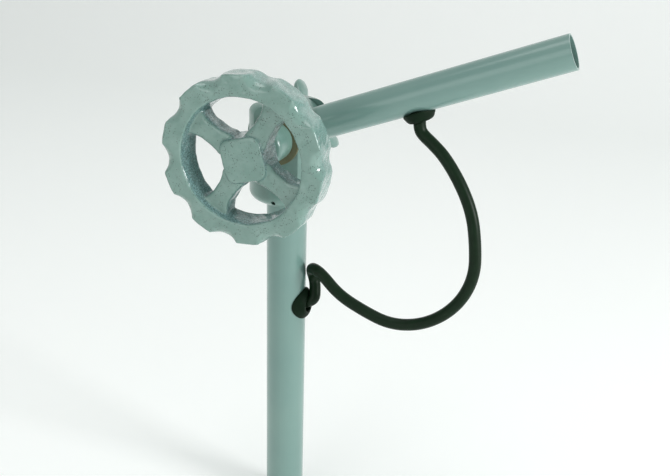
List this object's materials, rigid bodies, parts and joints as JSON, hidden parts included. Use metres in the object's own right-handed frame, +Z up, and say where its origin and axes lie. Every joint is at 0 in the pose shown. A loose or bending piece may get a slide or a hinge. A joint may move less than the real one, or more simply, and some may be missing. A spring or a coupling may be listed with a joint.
{
  "type": "clamped lamp elbow joint",
  "caption": "Friction elbow of a workshop lamp: post with forked head, tilting tube arm, scalloped handwheel clamp, wing nut and a cord loop.",
  "frame": {"origin": "centre of the post's lower end, on the post's axis", "axes": "+Z up the post, +X towards the side the arm leans out to, clamp axis parallel to Y with the handwheel on the -Y side"},
  "size_m": [0.1701, 0.0994, 0.2671],
  "materials": {
    "green_paint": "smooth sage green enamel on steel",
    "cast_paint": "thick glossy green enamel with dark speckle on a rough casting",
    "steel": "plain turned steel",
    "bronze": "plain turned bronze",
    "fibre": "khaki vulcanised fibre",
    "rubber": "black moulded rubber",
    "cord": "satin black sheath",
    "black_plastic": "black moulded plastic"
  },
  "bodies": {
    "post": {"post_tube": "green_paint", "post_end_bush": "black_plastic", "post_head": "green_paint", "head_weld": "green_paint", "head_pin": "steel", "cheek_bush_front": "bronze", "cheek_bush_rear": "bronze", "friction_disc_front": "fibre", "friction_disc_rear": "fibre", "front_washer": "fibre", "post_grommet": "rubber", "post_cable": "cord", "flex_cord": "cord"},
    "arm": {"arm_tube": "green_paint", "arm_eye": "green_paint", "eye_bush": "bronze", "arm_rivets": "green_paint", "arm_end_bush": "black_plastic", "arm_grommet": "rubber", "arm_cable": "cord"},
    "handwheel": {"handwheel": "cast_paint", "clamp_spindle": "steel", "spindle_collar": "green_paint", "drive_pin": "steel"},
    "thrust_stack": {"rear_washer": "green_paint", "spacer_sleeve": "green_paint", "spring_washer": "steel"},
    "wing_nut": {"wing_nut": "green_paint"}
  },
  "joints": [
    {"name": "arm_tilt", "type": "hinge", "parent": "post", "child": "arm", "pos_m": [0, 0, 0.21], "axis": [0, -1, 0], "range_deg": [-40, 75], "deforming": ["flex_cord"]},
    {"name": "handwheel_turn", "type": "hinge", "parent": "post", "child": "handwheel", "pos_m": [0, 0, 0.21], "axis": [0, -1, 0], "continuous": true},
    {"name": "clamp_release", "type": "slide", "parent": "post", "child": "thrust_stack", "axis": [0, 1, 0], "range_m": [0, 0.0025]},
    {"name": "wing_nut_turn", "type": "hinge", "parent": "thrust_stack", "child": "wing_nut", "pos_m": [0, 0, 0.21], "axis": [0, 1, 0], "range_deg": [0, 722]}
  ],
  "couplings": [
    {"joint": "wing_nut_turn", "follows": "clamp_release", "rad_per_m": 5026.5}
  ]
}
